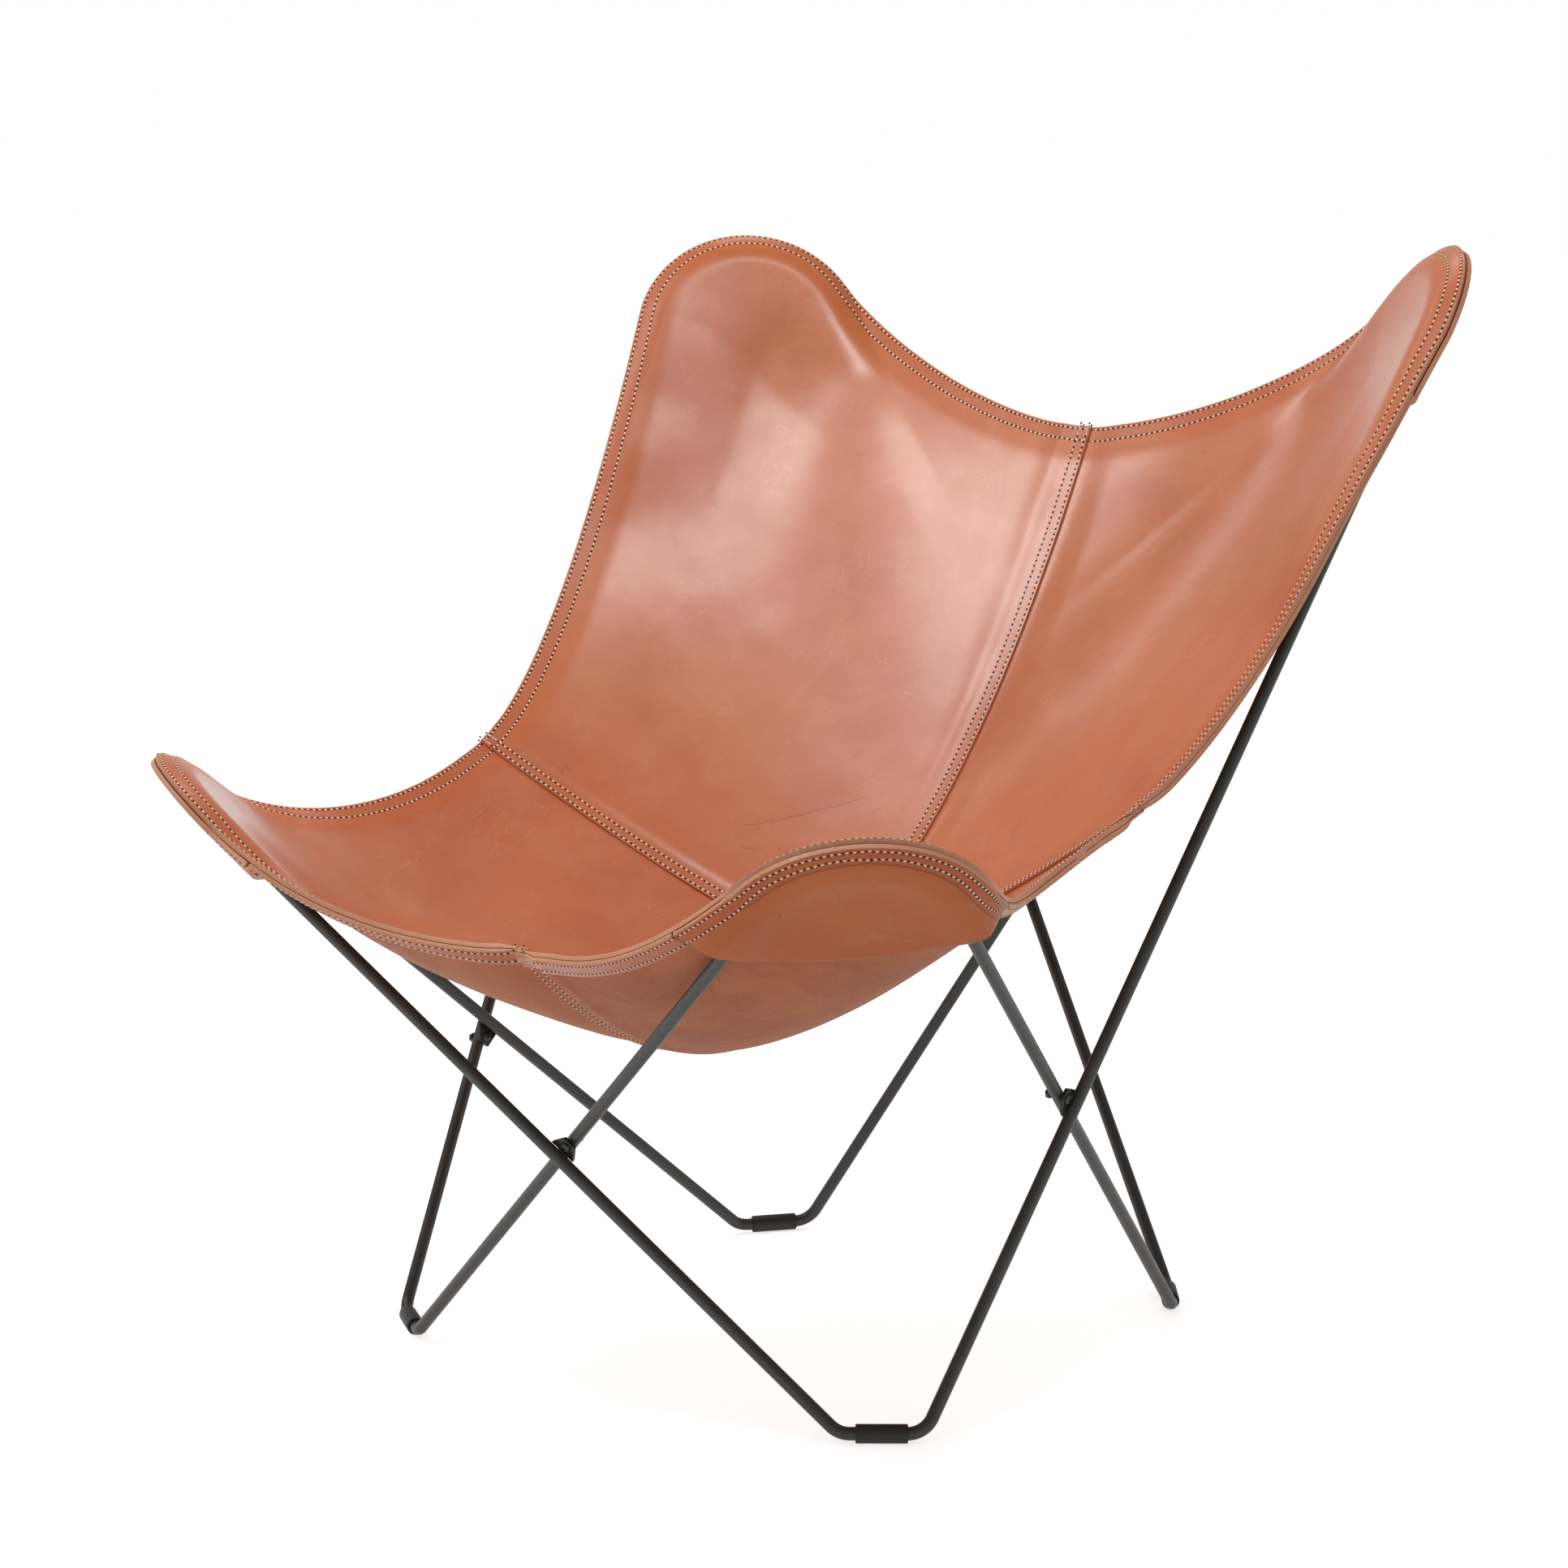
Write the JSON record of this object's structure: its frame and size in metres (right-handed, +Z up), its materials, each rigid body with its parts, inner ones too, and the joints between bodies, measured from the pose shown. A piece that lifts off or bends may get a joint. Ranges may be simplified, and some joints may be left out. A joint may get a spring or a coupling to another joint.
{
  "type": "butterfly sling chair",
  "caption": "Low lounge chair with a leather butterfly sling hung by corner pockets on two crossing bent steel rod loops.",
  "frame": {"origin": "on the floor, under the middle of the chair's bounding box", "axes": "+Z up, front of the seat towards -Y, +X to the right as seen from the front"},
  "size_m": [0.9036, 0.9246, 0.9332],
  "materials": {
    "frame": "satin black powder coat on bent steel rod",
    "fastener": "blackened steel",
    "foot_sleeve": "matt black sleeve",
    "leather": "satin tan vegetable-tanned hide, grain side",
    "leather_back": "matt flesh side of the same hide"
  },
  "bodies": {
    "root": {"frame_loop_right": "frame", "frame_loop_left": "frame", "joint_plate_front": "frame", "joint_screw_front": "fastener", "joint_nut_front": "fastener", "joint_plate_back": "frame", "joint_screw_back": "fastener", "joint_nut_back": "fastener", "joint_plate_right": "frame", "joint_screw_right": "fastener", "joint_nut_right": "fastener", "joint_plate_left": "frame", "joint_screw_left": "fastener", "joint_nut_left": "fastener", "foot_sleeve_front_left": "foot_sleeve", "foot_sleeve_front_right": "foot_sleeve", "foot_sleeve_back_left": "foot_sleeve", "foot_sleeve_back_right": "foot_sleeve", "panel_front_left": "leather", "panel_front_right": "leather", "panel_back_left": "leather", "panel_back_right": "leather", "pocket_front_left": "leather_back", "pocket_front_right": "leather_back", "pocket_back_left": "leather_back", "pocket_back_right": "leather_back", "edge_band_front_left": "leather_back", "edge_band_side_front_left": "leather_back", "edge_band_front_right": "leather_back", "edge_band_side_front_right": "leather_back", "edge_band_back_left": "leather_back", "edge_band_side_back_left": "leather_back", "edge_band_back_right": "leather_back", "edge_band_side_back_right": "leather_back"}
  },
  "joints": []
}
